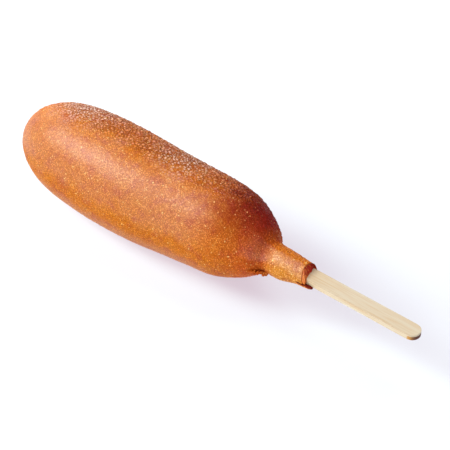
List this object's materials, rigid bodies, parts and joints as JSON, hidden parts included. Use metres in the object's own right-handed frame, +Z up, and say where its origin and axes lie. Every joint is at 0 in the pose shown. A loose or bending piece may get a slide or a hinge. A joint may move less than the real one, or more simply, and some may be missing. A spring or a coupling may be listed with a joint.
{
  "type": "corn dog",
  "caption": "Corn dog lying on its side: smooth golden fried batter round a sausage, narrowing to a collar with a broken mouth, on a flat wooden stick.",
  "frame": {"origin": "centre of the bounding box, on the surface that the corn dog lies on", "axes": "+X from the rounded end towards the tip of the stick, +Z up"},
  "size_m": [0.1812, 0.04, 0.0395],
  "materials": {
    "fried_batter": "golden brown fried cornmeal batter, finely pebbled, softly glossy with oil",
    "stick_wood": "pale birch, unfinished, fine lengthwise grain, browned end"
  },
  "bodies": {
    "root": {"batter": "fried_batter", "stick": "stick_wood"}
  },
  "joints": []
}
